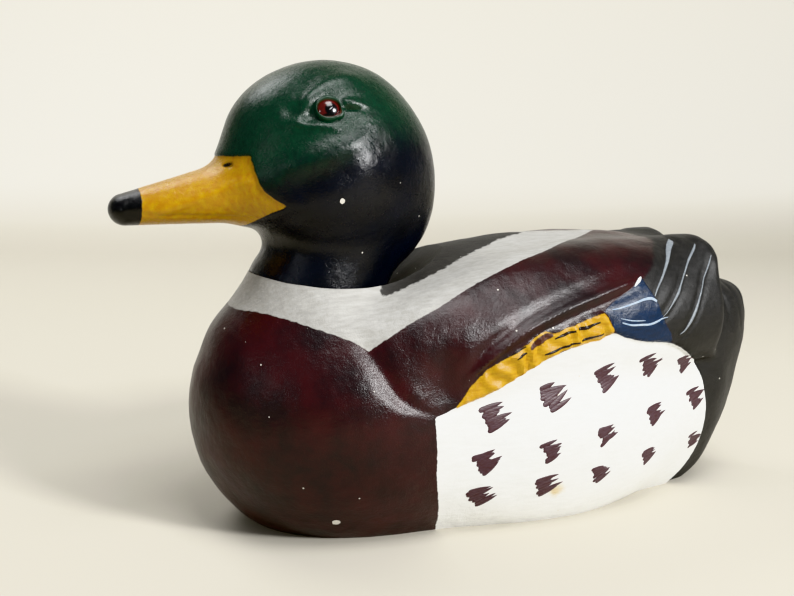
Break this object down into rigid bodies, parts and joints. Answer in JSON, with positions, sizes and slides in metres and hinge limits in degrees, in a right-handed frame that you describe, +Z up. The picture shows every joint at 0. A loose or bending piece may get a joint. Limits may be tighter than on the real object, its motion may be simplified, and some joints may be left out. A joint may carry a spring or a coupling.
{
  "type": "floating duck decoy",
  "caption": "Hollow carved and painted mallard drake decoy with a swivelling head, glass eyes, an inset weighted bottom board and a folding line ring.",
  "frame": {"origin": "middle of the flat bottom, on the floor, half way between the bill tip and the tail tip", "axes": "+Z up, bill towards -Y, tail towards +Y, the duck's left side towards +X"},
  "size_m": [0.0788, 0.2003, 0.13],
  "materials": {
    "painted_body": "carved wood, gesso ground, satin enamel in maroon brown, white, black, blue and yellow",
    "painted_head": "carved wood, gesso ground, semi-gloss enamel in green, black and ochre yellow",
    "eye_glass": "polished, red iris and black pupil painted behind",
    "lid_putty": "epoxy putty, painted over",
    "bare_pine": "planed and sealed pine",
    "dowel_beech": "turned beech, waxed",
    "brass_hardware": "worn yellow brass",
    "cast_lead": "dull grey cast lead",
    "leather": "waxed vegetable-tanned leather"
  },
  "bodies": {
    "hull": {"body_block": "painted_body", "bottom_board": "bare_pine", "board_screws": "brass_hardware", "ballast_weight": "cast_lead", "ballast_screws": "brass_hardware", "line_tie": "brass_hardware", "tie_screws": "brass_hardware", "seat_washer": "leather"},
    "head": {"head_block": "painted_head", "left_eye": "eye_glass", "right_eye": "eye_glass", "left_eyelid": "lid_putty", "right_eyelid": "lid_putty", "neck_dowel": "dowel_beech", "retaining_washer": "brass_hardware", "retaining_screw": "brass_hardware"},
    "ring": {"line_ring": "brass_hardware"}
  },
  "joints": [
    {"name": "neck_swivel", "type": "hinge", "parent": "hull", "child": "head", "pos_m": [0, -0.043, 0.0675], "axis": [0, 0.2079, 0.9781], "range_deg": [-70, 70]},
    {"name": "ring_pivot", "type": "hinge", "parent": "hull", "child": "ring", "pos_m": [0, -0.0465, 0.0032], "axis": [-1, 0, 0], "range_deg": [0, 115]}
  ]
}
